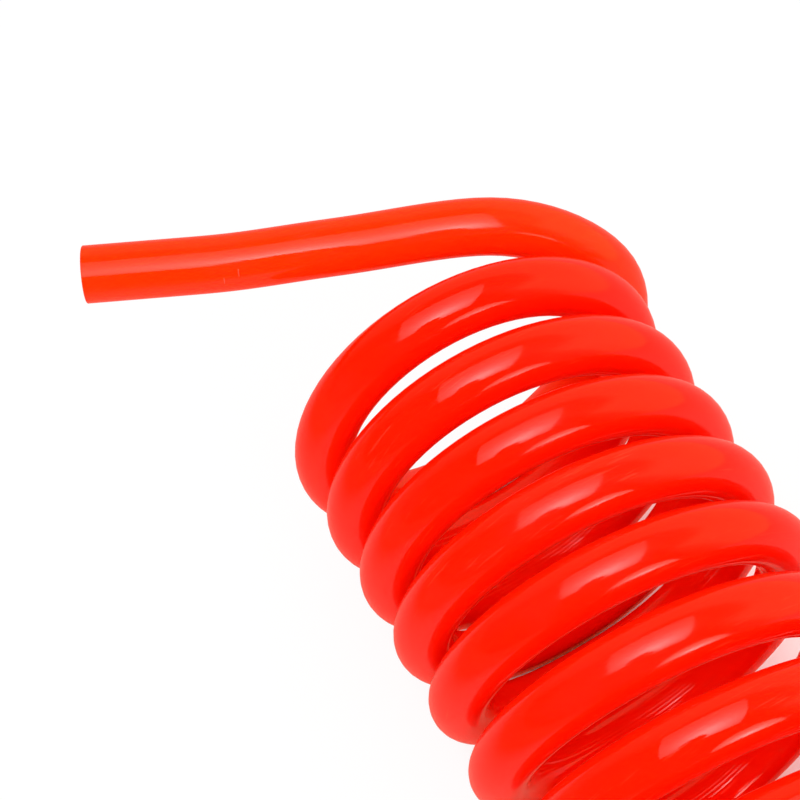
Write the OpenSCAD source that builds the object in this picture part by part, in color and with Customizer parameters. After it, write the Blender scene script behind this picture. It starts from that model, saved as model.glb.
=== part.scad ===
// A recoil air hose: one tube, wound into a coil, with a free tail at each end.
// The coil's axis runs along X. The near end is at -X and the far end at +X.

/* [Hose] */
// Outside diameter of the hose
hose_d = 12; // [10:0.5:14]
// Bore of the hose
bore_d = 8; // [6:0.5:9]

/* [Coil] */
// Radius of the coil, to the middle of the hose
coil_r = 35; // [32:0.5:42]
// Whole turns between the two ends of the coil
turns = 12; // [8:1:12]
// Gap between turns where the coil is nearly closed
close_gap = 2.6; // [2.3:0.1:6]
// Gap between turns where the coil stands open
open_gap = 10; // [4:0.5:14]
// Turns from the top of the first one to where the gap starts to grow
close_turns = 2.5; // [0:0.5:4]
// Turns over which the gap grows
opening_turns = 10.5; // [6:0.5:14]
// How far the top of the first turn leans towards its tail
lean = 6; // [0:0.5:7]
// Turns over which the lean fades
lean_fade = 2.25; // [1.5:0.25:4]
// How far the foot of a turn lies from its place, at most, where the floor holds it
foot_drag = 4.5; // [0:0.5:4.5]

/* [Ends] */
// Straight length at each free end, which pushes into a fitting
end_l = 25; // [18:1:40]
// Angle between the free end and the line across the coil
end_yaw = 22.5; // [15:0.5:40]
// Angle by which the free end droops
end_droop = 1; // [0:0.5:15]

/* [Hidden] */
$fn = 96;

hose_colour = "orangered";
hose_r = hose_d / 2;
bore_r = bore_d / 2;

// The coil starts this far past the top of its first turn, and ends as far before the top of its last
coil_from = 10 / 24;
coil_to = turns + 14 / 24;
// A wound end runs straight for one diameter of the hose
lead_l = hose_d;
// The coil is cut flat where it rests
flat_depth = hose_d / 10;
axis_z = coil_r + hose_r - flat_depth;

// Sides and rings of the swept tubes
rings_per_turn = 24;
coil_sides = 8;
coil_bore_sides = 6;
tail_sides = 12;
rings_per_stretch = 3;
// A tail's swept stretch runs this far into the wall of its round end, and this far inside its faces
end_overlap = 1;
end_skin = 0.05;

// Route of a tail, from the end of the coil: x away from the coil, y across it, z up
tail_route = [[2, 12, 18.5], [6.5, 7.5, 39], [16, -12, 52], [29, -43.5, 49], [38, -69, 48]];

// Share of foot_drag at the foot of each turn from the first on
drag_shares = [0, 0.2, 0.4, 0.4, 0, 0, 1, 0.55, 0.2, 0];
drags = [for (i = [0:len(drag_shares) - 1]) [i + 0.5, foot_drag * drag_shares[i]]];

function unit(v) = v / norm(v);

// Distance gained along the axis after u turns: a close pitch that opens as a raised cosine
function opened(u) = let (v = min(max((u - close_turns) / opening_turns, 0), 1))
    (open_gap - close_gap) / 2 * opening_turns * (v - sin(180 * v) / PI);
function leaned(u) = lean * cos(360 * u) * (exp((u - coil_to) / lean_fade) - exp(-u / lean_fade));
function dragged(u) = lookup(u, drags) * pow((1 - cos(360 * u)) / 2, 2);
function advance(u) = (hose_d + close_gap) * u + opened(u) + leaned(u) + dragged(u);
coil_mid = (advance(coil_from) + advance(coil_to)) / 2;

// The middle of the hose after u turns, counted from the top, and the way it runs there
function coil_point(u) = [advance(u) - coil_mid, coil_r * sin(360 * u), axis_z + coil_r * cos(360 * u)];
function coil_heading(u) = unit(coil_point(u + 0.001) - coil_point(u - 0.001));

near_heading = -coil_heading(coil_from);
far_heading = coil_heading(coil_to);
near_mouth = coil_point(coil_from) + lead_l * near_heading;
far_mouth = coil_point(coil_to) + lead_l * far_heading;

coil_steps = round((coil_to - coil_from) * rings_per_turn);
coil_us = [for (i = [0:coil_steps]) coil_from + i / rings_per_turn];
coil_path = concat([near_mouth], [for (u = coil_us) coil_point(u)], [far_mouth]);
coil_headings = concat([-near_heading], [for (u = coil_us) coil_heading(u)], [far_heading]);

// A smooth curve through the points b and c, whose neighbours are a and d
function curve_point(a, b, c, d, t) =
    0.5 * (2 * b + (c - a) * t + (2 * a - 5 * b + 4 * c - d) * t * t + (3 * b - a - 3 * c + d) * t * t * t);
function curve_heading(a, b, c, d, t) =
    unit((c - a) + 2 * (2 * a - 5 * b + 4 * c - d) * t + 3 * (3 * b - a - 3 * c + d) * t * t);

// side is 1 for the near tail and -1 for the far one, which is the same tail turned half round
function end_heading(side) =
    [-side * sin(end_yaw) * cos(end_droop), -side * cos(end_yaw) * cos(end_droop), -sin(end_droop)];
function knots(side, mouth) = concat([mouth], [for (p = tail_route) mouth + [-side * p.x, side * p.y, p.z]]);
// The knots with one more before the first and after the last, so that the ends run as they should
function guided(k, first, last) = let (n = len(k) - 1)
    concat([k[1] - 2 * norm(k[1] - k[0]) * first], k, [k[n - 1] + 2 * norm(k[n] - k[n - 1]) * last]);
function tail_path(k) = concat(
    [for (i = [1:len(k) - 3], j = [0:rings_per_stretch - 1])
        curve_point(k[i - 1], k[i], k[i + 1], k[i + 2], j / rings_per_stretch)],
    [k[len(k) - 2]]);
function tail_headings(k, last) = concat(
    [for (i = [1:len(k) - 3], j = [0:rings_per_stretch - 1])
        curve_heading(k[i - 1], k[i], k[i + 1], k[i + 2], j / rings_per_stretch)],
    [last]);

// A ring of n points round c, square to the heading h
function ring(c, h, r, n) = let (s = unit(cross(h, [1, 0, 0])), w = cross(h, s))
    [for (i = [0:n - 1]) c + r * (cos(360 * i / n) * s + sin(360 * i / n) * w)];

// Triangles of a tube's wall of n sides over a number of rings, from the given first point
function wall(first, n, rings) = [for (j = [0:rings - 2], i = [0:n - 1])
    let (a = first + j * n + i, b = first + j * n + (i + 1) % n) each [[b + n, b, a], [a + n, b + n, a]]];
// Triangles between an outer ring of n points and an inner one of m
function end_face(outer, n, inner, m) = let (at = function(k) floor(k * m / n + 0.5)) concat(
    [for (k = [0:n - 1]) [inner + at(k) % m, outer + (k + 1) % n, outer + k]],
    [for (k = [0:n - 1]) if (at(k + 1) > at(k)) [inner + at(k) % m, inner + at(k + 1) % m, outer + (k + 1) % n]]);
function reversed(faces) = [for (f = faces) [f[2], f[1], f[0]]];

// A tube of n sides with a bore of m sides, swept along the path
module tube(path, headings, r, n, bore, m) {
    rings = len(path);
    bore_at = rings * n;
    last = rings - 1;
    points = concat(
        [for (i = [0:last]) each ring(path[i], headings[i], r, n)],
        [for (i = [0:last]) each ring(path[i], headings[i], bore, m)]);
    polyhedron(points, concat(
        wall(0, n, rings),
        reversed(wall(bore_at, m, rings)),
        reversed(end_face(0, n, bore_at, m)),
        end_face(last * n, n, bore_at + last * m, m)));
}

module coil() {
    color(hose_colour)
        difference() {
            tube(coil_path, coil_headings, hose_r, coil_sides, bore_r, coil_bore_sides);
            translate([-4 * coil_r - coil_mid, -2 * coil_r, -hose_d])
                cube([8 * coil_r + 2 * coil_mid, 4 * coil_r, hose_d]);
        }
}

// The straight end, a true round tube from the given point along the heading
module free_end(from, h) {
    translate(from)
        rotate([0, acos(h.z), atan2(h.y, h.x)])
            difference() {
                cylinder(r = hose_r, h = end_l);
                translate([0, 0, -1])
                    cylinder(r = bore_r, h = end_l + 2);
            }
}

module tail(side, mouth, heading) {
    k = knots(side, mouth);
    last = end_heading(side);
    joint = k[len(k) - 1];
    g = guided(k, heading, last);
    path = concat(tail_path(g), [joint + end_overlap * last]);
    headings = concat(tail_headings(g, last), [last]);
    color(hose_colour) {
        tube(path, headings, hose_r - end_skin, tail_sides,
            (bore_r + end_skin) / cos(180 / tail_sides), tail_sides);
        free_end(joint, last);
    }
}

// The least gap between the hose and itself, measured on the rings' centres half a turn or more apart
far_apart = rings_per_turn / 2;
self_gap = min([for (i = [0:len(coil_path) - 1], j = [i + far_apart:1:min(i + 3 * far_apart, len(coil_path) - 1)])
    norm(coil_path[i] - coil_path[j])]) - hose_d;
echo(coil_least_gap_mm = self_gap);

tail(1, near_mouth, near_heading);  // near_tail
coil();
tail(-1, far_mouth, far_heading);  // far_tail
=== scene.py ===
import math

import bpy
import numpy as np
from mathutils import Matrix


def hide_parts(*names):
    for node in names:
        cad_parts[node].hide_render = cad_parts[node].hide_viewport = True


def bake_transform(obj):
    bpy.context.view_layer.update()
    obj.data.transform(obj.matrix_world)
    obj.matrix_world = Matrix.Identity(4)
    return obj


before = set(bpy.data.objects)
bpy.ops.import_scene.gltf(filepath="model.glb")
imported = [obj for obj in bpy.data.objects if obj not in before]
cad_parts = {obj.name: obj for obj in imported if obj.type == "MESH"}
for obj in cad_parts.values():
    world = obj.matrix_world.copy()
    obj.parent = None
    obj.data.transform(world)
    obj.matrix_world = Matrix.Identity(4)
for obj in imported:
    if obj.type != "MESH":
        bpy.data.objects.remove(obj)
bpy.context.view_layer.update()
scene = bpy.context.scene
scene.view_settings.view_transform = "Standard"

# Where the camera stands: degrees round the coil and above it, metres from the plane through the
# origin, and metres by which it is moved sideways and upwards in its own view. The lens and the
# sensor are in millimetres
cameraView = {
    "azimuth": -27.521,
    "elevation": 58.821,
    "distance": 0.36192,
    "sideways": -0.062023,
    "upwards": 0.096054,
    "lens": 79.251,
    "sensorWidth": 36,
    "clipStart": 0.01,
}


# The camera looks along -w, where w points from the origin at the azimuth and elevation
def makeCamera(view):
    azimuth, elevation = math.radians(view["azimuth"]), math.radians(view["elevation"])
    w = np.array([
        math.cos(elevation) * math.cos(azimuth),
        math.cos(elevation) * math.sin(azimuth),
        math.sin(elevation),
    ])
    right = np.array([-math.sin(azimuth), math.cos(azimuth), 0.0])
    up = np.cross(w, right)
    data = bpy.data.cameras.new("camera")
    data.lens = view["lens"]
    data.sensor_width = view["sensorWidth"]
    data.clip_start = view["clipStart"]
    camera = bpy.data.objects.new("camera", data)
    camera.location = view["sideways"] * right + view["upwards"] * up + view["distance"] * w
    camera.rotation_euler = (math.pi / 2 - elevation, 0, math.pi / 2 + azimuth)
    scene.collection.objects.link(camera)
    scene.camera = camera


makeCamera(cameraView)
print("camera placed")

# The tube itself, in metres
hose = {
    "diameter": 0.012,
    "bore": 0.008,
    "length": 3.007,
    "edge": 0.00015,  # bevel on the edges of the cut ends
    "sharpAngle": 32,
    "sides": 48,
    "ringStep": 0.003,
    "boreStride": 2,  # the bore has a ring for every second ring outside
}

# How it is wound. Gaps are clear distances between turns, counts are turns
coil = {
    "radius": 0.035,
    "turns": 12,
    "closeGap": 0.0026,
    "openGap": 0.010,
    "closeTurns": 2.5,
    "openingTurns": 10.5,
    "lean": 0.006,
    "leanFade": 2.25,
    "footDrag": 0.0045,
    "dragShares": [0, 0.2, 0.4, 0.4, 0, 0, 1, 0.55, 0.2, 0],  # at the foot of each turn from the first on
    "flatDepth": 0.0012,  # how far the wound middle would sink into the floor if it stayed round
    "restHeight": 0.0024,  # the lowest part of each turn is raised over about this height
    "samples": 9000,
    "nudge": 0.001,  # the heading is taken between two points this far to either side
}
# The wound middle starts this far past the top of its first turn, and ends as far before the top of its last
coilFrom = 10 / 24
coilTo = coil["turns"] + 14 / 24
leadLength = hose["diameter"]
axisHeight = coil["radius"] + hose["diameter"] / 2 - coil["flatDepth"]

# The free ends: a straight length, its two angles, and the route from the coil in millimetres
ends = {
    "length": 0.025,
    "yaw": 22.5,
    "droop": 1,
    "route": [[2, 12, 18.5], [6.5, 7.5, 39], [16, -12, 52], [29, -43.5, 49], [38, -69, 48]],
    "ease": 0.008,  # the middle line is averaged over this length
    "stretchSamples": 60,
    "endSamples": 26,
}
lineDensity = 1000  # points of the middle line in a metre


def unit(v):
    return v / np.linalg.norm(v, axis=-1, keepdims=True)


# Distance along the axis after u turns: a close pitch, which opens as a raised cosine, a lean that swings
# once a turn and dies away exponentially from either end, and the drag of the feet, as
# ((1 - cos(turn)) / 2)^2 between the values at the feet
def advance(u):
    v = np.clip((u - coil["closeTurns"]) / coil["openingTurns"], 0, 1)
    widening = (coil["openGap"] - coil["closeGap"]) / 2 * coil["openingTurns"]
    opened = widening * (v - np.sin(np.pi * v) / np.pi)
    fade = np.exp((u - coilTo) / coil["leanFade"]) - np.exp(-u / coil["leanFade"])
    leaned = coil["lean"] * np.cos(2 * np.pi * u) * fade
    drag = coil["footDrag"] * np.interp(u, np.arange(len(coil["dragShares"])) + 0.5, coil["dragShares"])
    dragged = drag * ((1 - np.cos(2 * np.pi * u)) / 2) ** 2
    return (hose["diameter"] + coil["closeGap"]) * u + opened + leaned + dragged


# A helix round the X axis, from the top of its first turn
def coilPoint(u):
    turn, middle = 2 * np.pi * u, (advance(coilFrom) + advance(coilTo)) / 2
    return np.stack([
        advance(u) - middle,
        coil["radius"] * np.sin(turn),
        axisHeight + coil["radius"] * np.cos(turn),
    ], axis=-1)


# Catmull-Rom curve through the route, guided by the headings at both its ends, then a straight end.
# side is 1 at the near end and -1 at the far one, which is the same tail turned half round
def tailPoints(side, u):
    heading = -side * unit(coilPoint(u + coil["nudge"]) - coilPoint(u - coil["nudge"]))
    mouth = coilPoint(u) + leadLength * heading
    yaw, droop = math.radians(ends["yaw"]), math.radians(ends["droop"])
    endHeading = np.array([
        -side * math.sin(yaw) * math.cos(droop),
        -side * math.cos(yaw) * math.cos(droop),
        -math.sin(droop),
    ])
    route = np.array(ends["route"]) / 1000 * [-side, side, 1]
    knots = np.vstack([mouth, mouth + route])
    before = knots[1] - 2 * np.linalg.norm(knots[1] - knots[0]) * heading
    after = knots[-2] + 2 * np.linalg.norm(knots[-1] - knots[-2]) * endHeading
    guided = np.vstack([before, knots, after])
    t = np.linspace(0, 1, ends["stretchSamples"], endpoint=False)[:, None]
    stretches = [
        0.5 * (2 * b + (c - a) * t + (2 * a - 5 * b + 4 * c - d) * t**2 + (3 * b - a - 3 * c + d) * t**3)
        for a, b, c, d in zip(guided, guided[1:], guided[2:], guided[3:])
    ]
    straight = knots[-1] + np.linspace(0, 1, ends["endSamples"])[:, None] * ends["length"] * endHeading
    return np.vstack(stretches + [straight])


def arcLength(points):
    return np.concatenate([[0], np.cumsum(np.linalg.norm(np.diff(points, axis=0), axis=1))])


def resampled(points, stations):
    s = arcLength(points)
    return np.stack([np.interp(stations, s, points[:, k]) for k in range(3)], axis=-1)


# The whole middle line from tip to tip, with a moving average over a short window so that its curvature
# has no steps. Near the floor it rises by flatDepth * exp(-height / restHeight), which rests the round tube
# on the floor
def middleLine():
    u = np.linspace(coilFrom, coilTo, coil["samples"])
    points = np.vstack([tailPoints(1, coilFrom)[::-1], coilPoint(u), tailPoints(-1, coilTo)])
    total = arcLength(points)[-1]
    points = resampled(points, np.linspace(0, total, round(total * lineDensity) + 1))
    reach = round(ends["ease"] * lineDensity / 2)
    steps = np.arange(1, reach + 1)[:, None]
    firstStep, lastStep = points[1] - points[0], points[-1] - points[-2]
    padded = np.vstack([points[0] - steps[::-1] * firstStep, points, points[-1] + steps * lastStep])
    window = np.ones(2 * reach + 1) / (2 * reach + 1)
    points = np.stack([np.convolve(padded[:, k], window, mode="valid") for k in range(3)], axis=-1)
    height = points[:, 2] - (hose["diameter"] / 2 - coil["flatDepth"])
    points[:, 2] += coil["flatDepth"] * np.exp(-height / coil["restHeight"])
    return points


middle = middleLine()
along = arcLength(middle)
hoseLength = along[-1]
print("middle line of the hose:", round(float(hoseLength), 4), "m")


# One closed grid: rings out along the wall, over the cut face, back through the bore and over the other
# face. Each ring is a circle round the middle line, square to its heading
def makeHose():
    outer, inner, edge = hose["diameter"] / 2, hose["bore"] / 2, hose["edge"]
    rings = 2 * round(hoseLength / hose["ringStep"] / 2) + 1
    stations = np.linspace(0, hoseLength, rings)
    wall, bore = stations.copy(), stations[:: hose["boreStride"]].copy()
    wall[[0, -1]] = bore[[0, -1]] = [edge, hoseLength - edge]
    s = np.concatenate([wall, [hoseLength] * 2, bore[::-1], [0] * 2])
    radius = np.concatenate([
        np.full(len(wall), outer), [outer - edge, inner + edge],
        np.full(len(bore), inner), [inner + edge, outer - edge],
    ])
    cut = np.concatenate([np.zeros(len(wall)), [1, 1], np.zeros(len(bore)), [1, 1]])
    inside = np.concatenate([np.zeros(len(wall) + 1), np.ones(len(bore) + 2), [0]])
    centre = resampled(middle, s)
    heading = unit(np.gradient(middle, axis=0))
    heading = unit(np.stack([np.interp(s, along, heading[:, k]) for k in range(3)], axis=-1))
    across = unit(np.cross(heading, [1, 0, 0]))
    beside = np.cross(heading, across)
    sides, rows = hose["sides"], len(s)
    angle = np.arange(sides) / sides * 2 * np.pi
    points = centre[:, None] + radius[:, None, None] * (
        np.cos(angle)[None, :, None] * across[:, None] + np.sin(angle)[None, :, None] * beside[:, None]
    )
    row, column = [k.ravel() for k in np.meshgrid(np.arange(rows), np.arange(sides), indexing="ij")]
    nextRow, nextColumn = (row + 1) % rows, (column + 1) % sides
    faces = np.stack([
        row * sides + column, row * sides + nextColumn,
        nextRow * sides + nextColumn, nextRow * sides + column,
    ], axis=-1)
    mesh = bpy.data.meshes.new("hose")
    mesh.from_pydata(points.reshape(-1, 3).tolist(), [], faces.tolist())
    # The map is in metres: round the tube and along it
    turnStep = np.pi * hose["diameter"] / sides
    rounds = np.stack([column, column + 1, column + 1, column], axis=-1) * turnStep
    lengths = np.stack([s[row], s[row], s[nextRow], s[nextRow]], axis=-1)
    mesh.uv_layers.new(name="alongHose").uv.foreach_set(
        "vector", np.stack([rounds, lengths], axis=-1).astype(np.float32).ravel()
    )
    for name, values in {"cutFace": cut, "insideBore": inside}.items():
        attribute = mesh.attributes.new(name, "FLOAT", "POINT")
        attribute.data.foreach_set("value", np.repeat(values, sides).astype(np.float32))
    mesh.shade_smooth()
    mesh.set_sharp_from_angle(angle=math.radians(hose["sharpAngle"]))
    piece = bpy.data.objects.new("hose", mesh)
    scene.collection.objects.link(piece)
    return piece, s, resampled(middle, stations)


hosePiece, ringPlaces, ringCentres = makeHose()
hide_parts("near_tail", "coil", "far_tail")
print("hose made:", len(hosePiece.data.polygons), "faces")


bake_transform(hosePiece)


# Short hands for the node trees
class Tree:
    def __init__(self, owner):
        owner.use_nodes = True
        self.nodes, self.links = owner.node_tree.nodes, owner.node_tree.links
        self.nodes.clear()

    def put(self, kind, inputs=None, **settings):
        node = self.nodes.new(kind)
        for name, value in settings.items():
            setattr(node, name, value)
        for name, value in (inputs or {}).items():
            if isinstance(value, bpy.types.NodeSocket):
                self.links.new(value, node.inputs[name])
            else:
                node.inputs[name].default_value = value
        return node

    def math(self, operation, a, b=0.0, c=0.0):
        return self.put("ShaderNodeMath", {0: a, 1: b, 2: c}, operation=operation).outputs[0]

    def ramp(self, value, low, high, lowTo=0.0, highTo=1.0):
        inputs = {"Value": value, "From Min": low, "From Max": high, "To Min": lowTo, "To Max": highTo}
        return self.put("ShaderNodeMapRange", inputs, interpolation_type="SMOOTHSTEP").outputs[0]

    def split(self, vector):
        return self.put("ShaderNodeSeparateXYZ", {0: vector}).outputs

    def mixColours(self, share, first, second):
        return self.put("ShaderNodeMix", {0: share, 6: first, 7: second}, data_type="RGBA").outputs[2]

    def mixValues(self, share, first, second):
        return self.put("ShaderNodeMix", {0: share, 2: first, 3: second}).outputs[0]

    def mixShaders(self, share, first, second):
        return self.put("ShaderNodeMixShader", {0: share, 1: first, 2: second}).outputs[0]

    # Light of the given colour and strength, from a surface or a lamp, or from the world as a background
    def light(self, colour, strength, kind="ShaderNodeEmission"):
        return self.put(kind, {"Color": colour, "Strength": strength}).outputs[0]

    # 1 where a ray comes from a mirror image that the camera sees
    def mirrored(self, path):
        direct = self.math("LESS_THAN", path["Diffuse Depth"], 0.5)
        return self.math("MULTIPLY", path["Is Glossy Ray"], direct)


polyurethane = {
    "colour": (1.0, 0.0085, 0.0002, 1),
    # Painted light: the free ends are painted a lighter orange, standing in for the light that shines
    # through them from the floor
    "paintedEndLight": (1.0, 0.03, 0.0005, 1),  # of the two free ends
    "endReach": (0.05, 0.3),  # along the hose from its tips
    "cutColour": (1.0, 0.1, 0.02, 1),  # of the sawn faces
    "rubbedColour": (1.0, 0.06, 0.02, 1),  # of scuffs and nicks
    "smooth": 0.05,  # roughness of the clean wall
    "smudged": 0.11,
    "scuffed": 0.4,
    "cut": 0.5,
    "inBore": 0.16,
    "ior": 1.5,
    "subsurface": 0.4,
    "depth": 0.002,  # how deep red light gets into the wall, in metres
    "depths": (1.0, 0.08, 0.03),  # and shares of that depth for red, green and blue
}

# Unevenness of the wall, as noise on the straightened tube: cells per metre, how far they are drawn out
# along the tube, radians by which they wind round it per metre, height in metres, and the range of the
# noise over which a mark grows from none to full. Scuffs show only where the tube has been rubbed
grains = {
    "waves": {"scale": 60, "stretch": 1.0, "wind": 0, "height": 0.00003},
    "lines": {"scale": 1300, "stretch": 40, "wind": 0, "height": 0.000002},
    "scuffs": {"scale": 1600, "stretch": 12, "wind": 20, "height": 0.000003, "range": (0.6, 0.7)},
    "rubs": {"scale": 90, "stretch": 2.0, "wind": 0, "range": (0.52, 0.68)},
    "smudges": {"scale": 110, "stretch": 1.6, "wind": 0, "range": (0.42, 0.66)},
}
scuffShare = 0.3  # how far a scuff changes the colour and the gloss, where a nick changes them in full

# Nicks in the near end: their places round the tube and along it, half their length round and along, the
# share of the ellipse that is at full depth, and that depth
nicks = {
    "places": [(0.0251, 0.0315), (0.0265, 0.0285)],
    "half": (0.0011, 0.00016),
    "flat": 0.2,
    "depth": 0.00006,
}


def makePolyurethane():
    material = bpy.data.materials.new("orangePolyurethane")
    tree = Tree(material)
    mapped = tree.split(tree.put("ShaderNodeUVMap", uv_map="alongHose").outputs[0])
    rounds, lengths = mapped[0], mapped[1]

    def attribute(name):
        return tree.put("ShaderNodeAttribute", attribute_name=name).outputs["Fac"]

    # The place on a straight round tube is radius * cos(angle), radius * sin(angle), length / stretch
    def noise(grain):
        radius = hose["diameter"] / 2
        angle = tree.math("MULTIPLY_ADD", lengths, grain["wind"], tree.math("MULTIPLY", rounds, 1 / radius))
        vector = tree.put("ShaderNodeCombineXYZ", {
            0: tree.math("MULTIPLY", tree.math("COSINE", angle), radius),
            1: tree.math("MULTIPLY", tree.math("SINE", angle), radius),
            2: tree.math("DIVIDE", lengths, grain["stretch"]),
        })
        return tree.put("ShaderNodeTexNoise", {
            "Vector": vector.outputs[0], "Scale": grain["scale"], "Detail": 2.0, "Roughness": 0.5,
        }).outputs[0]

    # An ellipse of 1 that falls to 0 at its rim, where (x / half)^2 + (y / half)^2 is 1
    def nick(place):
        x = tree.math("DIVIDE", tree.math("SUBTRACT", rounds, place[0]), nicks["half"][0])
        y = tree.math("DIVIDE", tree.math("SUBTRACT", lengths, place[1]), nicks["half"][1])
        square = tree.math("MULTIPLY_ADD", x, x, tree.math("MULTIPLY", y, y))
        return tree.ramp(square, nicks["flat"], 1.0, 1.0, 0.0)

    def marks(grain):
        return tree.ramp(noise(grain), *grain["range"])

    nicked = tree.math("MAXIMUM", *[nick(place) for place in nicks["places"]])
    scuffs = tree.math("MULTIPLY", marks(grains["scuffs"]), marks(grains["rubs"]))
    rubbed = tree.math("MULTIPLY_ADD", scuffs, scuffShare, nicked)
    # Painted light: towards the tips the colour runs into the lighter orange painted on the free ends
    fromTip = tree.math("MINIMUM", lengths, tree.math("SUBTRACT", float(hoseLength), lengths))
    nearTip = tree.ramp(fromTip, *polyurethane["endReach"], 1.0, 0.0)
    colour = tree.mixColours(nearTip, polyurethane["colour"], polyurethane["paintedEndLight"])
    colour = tree.mixColours(rubbed, colour, polyurethane["rubbedColour"])
    colour = tree.mixColours(attribute("cutFace"), colour, polyurethane["cutColour"])
    roughness = tree.mixValues(marks(grains["smudges"]), polyurethane["smooth"], polyurethane["smudged"])
    roughness = tree.mixValues(attribute("insideBore"), roughness, polyurethane["inBore"])
    roughness = tree.mixValues(rubbed, roughness, polyurethane["scuffed"])
    roughness = tree.mixValues(attribute("cutFace"), roughness, polyurethane["cut"])
    height = tree.math("MULTIPLY", noise(grains["waves"]), grains["waves"]["height"])
    height = tree.math("MULTIPLY_ADD", noise(grains["lines"]), grains["lines"]["height"], height)
    height = tree.math("MULTIPLY_ADD", scuffs, -grains["scuffs"]["height"], height)
    height = tree.math("MULTIPLY_ADD", nicked, -nicks["depth"], height)
    bumped = tree.put("ShaderNodeBump", {"Strength": 1.0, "Distance": 1.0, "Height": height})
    shader = tree.put("ShaderNodeBsdfPrincipled", {
        "Base Color": colour,
        "Roughness": roughness,
        "IOR": polyurethane["ior"],
        "Normal": bumped.outputs[0],
        "Subsurface Weight": polyurethane["subsurface"],
        "Subsurface Radius": polyurethane["depths"],
        "Subsurface Scale": polyurethane["depth"],
    })
    tree.put("ShaderNodeOutputMaterial", {"Surface": shader.outputs[0]})
    return material


hosePiece.data.materials.append(makePolyurethane())
print("hose finished")

# The studio: radiances, where 1 is white, and metres
studio = {
    "white": (1, 1, 1, 1),
    "fill": 1.0,
    "warm": (1.0, 0.46, 0.21, 1),  # the colour of what is not a lamp
}

studioFloor = {
    "half": 3.0,
    "colour": (0.97, 0.97, 0.97, 1),
    "glow": 0.93,  # share of plain white in what the camera sees of it
    "shadeStarts": (-0.108, -0.098),  # along the coil, where the shade under it begins and ends
    "shadeEnds": (0.10, 0.15),
    "shadeMiddle": 0.018,  # and its middle and reach across the coil
    "shadeReach": (0.026, 0.056),
    # Painted reflection: a red glow that only reflections see, standing in for the red light the hose throws
    # on the floor
    "paintedReflectionRed": (1.0, 0.12, 0.03, 1),  # what reflections show in place of the floor
    "mirrorLevel": 0.75,
    "mirrorShares": (0.97, 0.75),  # how far it takes the floor's place: in front, elsewhere
    "frontReach": (-0.19, -0.07),  # across the coil, where the front ends and the rest begins
}

# A softbox over the coil, brightest round one spot, whose place is in shares of the box's size
softbox = {
    "place": (-0.03, -0.085, 0.40),
    "size": (0.40, 0.32),
    "turn": -12,
    "edge": 0.7,
    "hot": 5.2,
    "spot": (0.75, 0.6),
    "spread": 0.08,
}

# An oval lamp low at the far end
sideLamp = {
    "azimuth": 8,
    "elevation": 16,
    "distance": 0.8,
    "size": (0.38, 0.60),
    "edge": 1.7,
    "hot": 7.0,
    "spot": (0.5, 0.55),
    "spread": 0.07,
}

# A dark card beside the camera, which only reflections and shadows show
darkCard = {
    "place": (0.105, -0.115, 0.35),
    "radius": 0.045,
    "sides": 48,
    "colour": (0.01, 0.01, 0.01, 1),
}

# Levels of the room round the object, by azimuth and by elevation in degrees. None of them exceeds the top
room = {
    "top": 2,
    "round": [
        (-180, 0.76), (-150, 0.42), (-130, 0.05), (25, 0.05), (36, 0.5), (44, 1.28), (65, 1.45),
        (100, 1.28), (130, 1.1), (150, 0.94), (180, 0.76),
    ],
    "up": [(0, 0.9), (42, 0.9), (50, 0.35), (62, 0.2), (85, 0.2)],
}


# A shaded white floor. The camera sees it glow white, but for the shade under the coil, which is red with
# the light that the hose throws on it. Reflections show a plain red glow in its place, a painted reflection
# of that red light
def makeFloor(floorPlan):
    mesh = bpy.data.meshes.new("floor")
    half = floorPlan["half"]
    corners = [(-half, -half, 0), (half, -half, 0), (half, half, 0), (-half, half, 0)]
    mesh.from_pydata(corners, [], [(0, 1, 2, 3)])
    material = bpy.data.materials.new("whiteFloor")
    tree = Tree(material)
    path = tree.put("ShaderNodeLightPath").outputs
    place = tree.split(tree.put("ShaderNodeTexCoord").outputs["Object"])
    fromMiddle = tree.math("ABSOLUTE", tree.math("SUBTRACT", place[1], floorPlan["shadeMiddle"]))
    shade = tree.math(
        "MULTIPLY",
        tree.ramp(place[0], *floorPlan["shadeStarts"]),
        tree.ramp(place[0], *floorPlan["shadeEnds"], 1.0, 0.0),
    )
    shade = tree.math("MULTIPLY", shade, tree.ramp(fromMiddle, *floorPlan["shadeReach"], 1.0, 0.0))
    seen = tree.math("MAXIMUM", path["Is Camera Ray"], path["Is Transmission Ray"])
    glow = tree.math("MULTIPLY", seen, tree.ramp(shade, 0.0, 1.0, floorPlan["glow"], 0.0))
    # Painted reflection: mirror images see the red glow instead of the shaded floor, most of all in front
    share = tree.ramp(place[1], *floorPlan["frontReach"], *floorPlan["mirrorShares"])
    share = tree.math("MULTIPLY", tree.mirrored(path), share)
    shaded = tree.put("ShaderNodeBsdfDiffuse", {"Color": floorPlan["colour"]}).outputs[0]
    surface = tree.mixShaders(share, shaded, tree.light(floorPlan["paintedReflectionRed"], floorPlan["mirrorLevel"]))
    surface = tree.mixShaders(glow, surface, tree.light(studio["white"], 1.0))
    tree.put("ShaderNodeOutputMaterial", {"Surface": surface})
    mesh.materials.append(material)
    floor = bpy.data.objects.new("floor", mesh)
    scene.collection.objects.link(floor)


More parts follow.
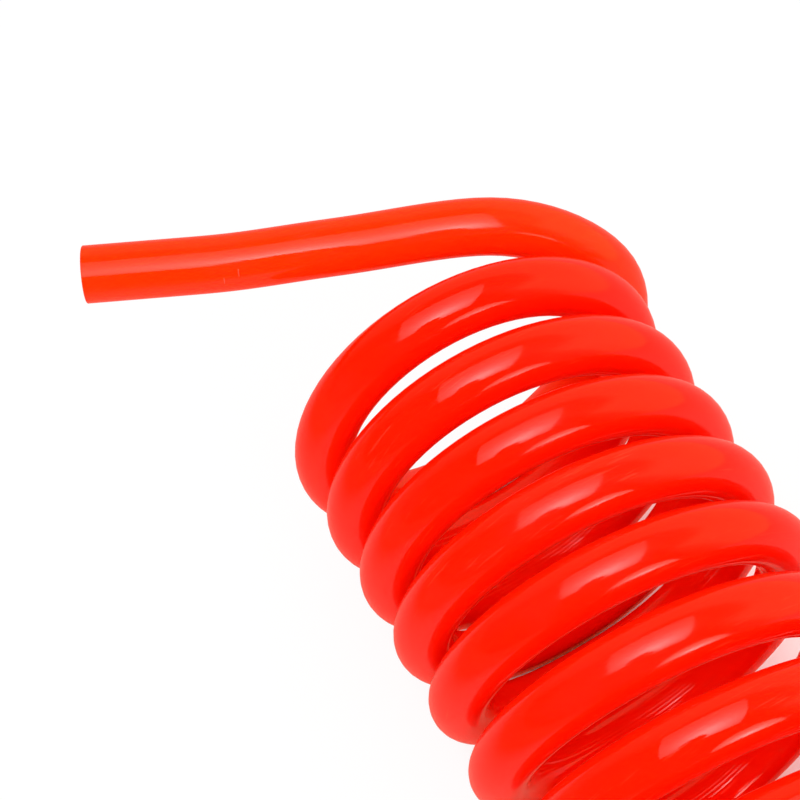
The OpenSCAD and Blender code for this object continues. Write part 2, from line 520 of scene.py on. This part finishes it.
# A disc of darkness, facing the coil
def makeDarkCard(card):
    place, sides = np.array(card["place"]), card["sides"]
    angle = np.arange(sides) / sides * 2 * np.pi
    away = unit(place)
    across = unit(np.cross([0, 0, 1], away))
    rim = np.cos(angle)[:, None] * across + np.sin(angle)[:, None] * np.cross(away, across)
    mesh = bpy.data.meshes.new("darkCard")
    mesh.from_pydata((place + card["radius"] * rim).tolist(), [], [tuple(range(sides))])
    material = bpy.data.materials.new("darkCloth")
    tree = Tree(material)
    cloth = tree.put("ShaderNodeBsdfDiffuse", {"Color": card["colour"]})
    tree.put("ShaderNodeOutputMaterial", {"Surface": cloth.outputs[0]})
    mesh.materials.append(material)
    disc = bpy.data.objects.new("darkCard", mesh)
    disc.visible_camera = disc.visible_diffuse = False
    scene.collection.objects.link(disc)


# An area lamp. Its radiance is edge + hot / (1 + (distance from the spot / spread)^2), warm in the first
# part and white in the second. The energy gives it a radiance of 1 for a strength of 1
def makeLamp(name, lamp, shape, place, rotation):
    width, height = lamp["size"]
    data = bpy.data.lights.new(name, "AREA")
    data.shape = shape
    data.size, data.size_y = width, height
    data.energy = math.pi * width * height * (1 if shape == "RECTANGLE" else math.pi / 4)
    tree = Tree(data)
    onLamp = tree.split(tree.put("ShaderNodeNewGeometry").outputs["Parametric"])
    x, y = [
        tree.math("MULTIPLY", tree.math("SUBTRACT", across, spot), size / lamp["spread"])
        for across, spot, size in zip(onLamp, lamp["spot"], lamp["size"])
    ]
    square = tree.math("MULTIPLY_ADD", x, x, tree.math("MULTIPLY_ADD", y, y, 1.0))
    hot = tree.math("DIVIDE", lamp["hot"], square)
    level = tree.math("ADD", hot, lamp["edge"])
    colour = tree.mixColours(tree.math("DIVIDE", hot, level), studio["warm"], studio["white"])
    tree.put("ShaderNodeOutputLight", {"Surface": tree.light(colour, level)})
    item = bpy.data.objects.new(name, data)
    item.location = place
    item.rotation_euler = rotation
    scene.collection.objects.link(item)


# The room by the direction away from the object: white to the camera, shaded by azimuth and elevation in
# reflections, and one even level for all other light
def makeWorld():
    world = bpy.data.worlds.new("studio")
    scene.world = world
    tree = Tree(world)
    path = tree.put("ShaderNodeLightPath").outputs
    x, y, z = tree.split(tree.put("ShaderNodeTexCoord").outputs["Generated"])
    azimuth = tree.math("MULTIPLY_ADD", tree.math("ARCTAN2", y, x), 0.5 / math.pi, 0.5)
    elevation = tree.math("MULTIPLY", tree.math("ARCSINE", z), 2 / math.pi)

    # The levels at the given angles, as shares of the top
    def steps(value, points, low, high):
        node = tree.put("ShaderNodeValToRGB", {0: value})
        marks = node.color_ramp.elements
        while len(marks) < len(points):
            marks.new(0.5)
        for mark, (angle, level) in zip(marks, points):
            mark.position = (angle - low) / (high - low)
            mark.color = (level / room["top"],) * 3 + (1,)
        return node.outputs[0]

    levels = steps(azimuth, room["round"], -180, 180), steps(elevation, room["up"], 0, 90)
    level = tree.math("MULTIPLY", tree.math("MULTIPLY", *levels), room["top"] ** 2)
    around = tree.light(studio["warm"], level, "ShaderNodeBackground")
    even = tree.light(studio["white"], studio["fill"], "ShaderNodeBackground")
    white = tree.light(studio["white"], 1.0, "ShaderNodeBackground")
    surface = tree.mixShaders(tree.mirrored(path), even, around)
    surface = tree.mixShaders(path["Is Camera Ray"], surface, white)
    tree.put("ShaderNodeOutputWorld", {"Surface": surface})


makeFloor(studioFloor)
makeDarkCard(darkCard)
makeLamp("softbox", softbox, "RECTANGLE", softbox["place"], (0, 0, math.radians(softbox["turn"])))
sideAzimuth, sideElevation = math.radians(sideLamp["azimuth"]), math.radians(sideLamp["elevation"])
sidePlace = sideLamp["distance"] * np.array([
    math.cos(sideElevation) * math.cos(sideAzimuth),
    math.cos(sideElevation) * math.sin(sideAzimuth),
    math.sin(sideElevation),
])
sideRotation = (math.pi / 2 - sideElevation, 0, math.pi / 2 + sideAzimuth)
makeLamp("sideLamp", sideLamp, "ELLIPSE", sidePlace, sideRotation)
makeWorld()
print("studio lit")
